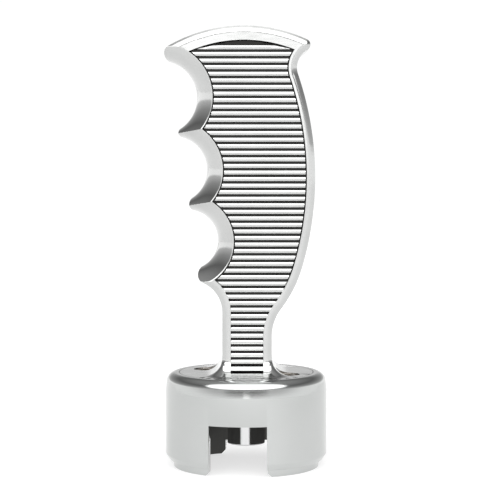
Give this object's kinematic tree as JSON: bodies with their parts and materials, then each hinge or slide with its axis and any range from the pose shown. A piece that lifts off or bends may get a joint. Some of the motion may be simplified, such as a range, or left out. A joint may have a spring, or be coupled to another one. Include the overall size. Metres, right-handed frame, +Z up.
{
  "type": "pistol grip gear shift knob with adapter cup",
  "caption": "Pistol-shaped gear-shift handle with finger grooves and ribbed sides, on a round notched cup that covers a lever's range selector.",
  "frame": {"origin": "centre of the cup's bottom face, where the pilot lip rests", "axes": "+Z up along the cup's axis and the lever; the finger grooves face -X; the ribbed side faces face -Y and +Y"},
  "size_m": [0.0572, 0.0572, 0.1545],
  "materials": {
    "handle_chrome": "polished cast aluminium, bright chrome look, mirror-like with faint casting waviness",
    "cup_chrome": "turned and satin-polished aluminium, soft bright reflections",
    "bushing_chrome": "bright chromed steel turned from hexagon bar",
    "screw_steel": "plain alloy steel with a knurled head, slightly dark",
    "zinc_steel": "zinc-plated spring steel"
  },
  "bodies": {
    "knob": {"pistol_handle": "handle_chrome", "adapter_cup": "cup_chrome", "lever_bushing": "bushing_chrome", "bushing_lock_washer": "zinc_steel", "screw_lock_washer_left": "zinc_steel", "screw_lock_washer_right": "zinc_steel"},
    "screw_left": {"mounting_screw_left": "screw_steel"},
    "screw_right": {"mounting_screw_right": "screw_steel"}
  },
  "joints": [
    {"name": "screw_left_turn", "type": "hinge", "parent": "knob", "child": "screw_left", "pos_m": [-0.01452, 0.0074, 0.03], "axis": [0, 0, 1], "continuous": true},
    {"name": "screw_right_turn", "type": "hinge", "parent": "knob", "child": "screw_right", "pos_m": [0.01452, -0.0074, 0.03], "axis": [0, 0, 1], "continuous": true}
  ]
}
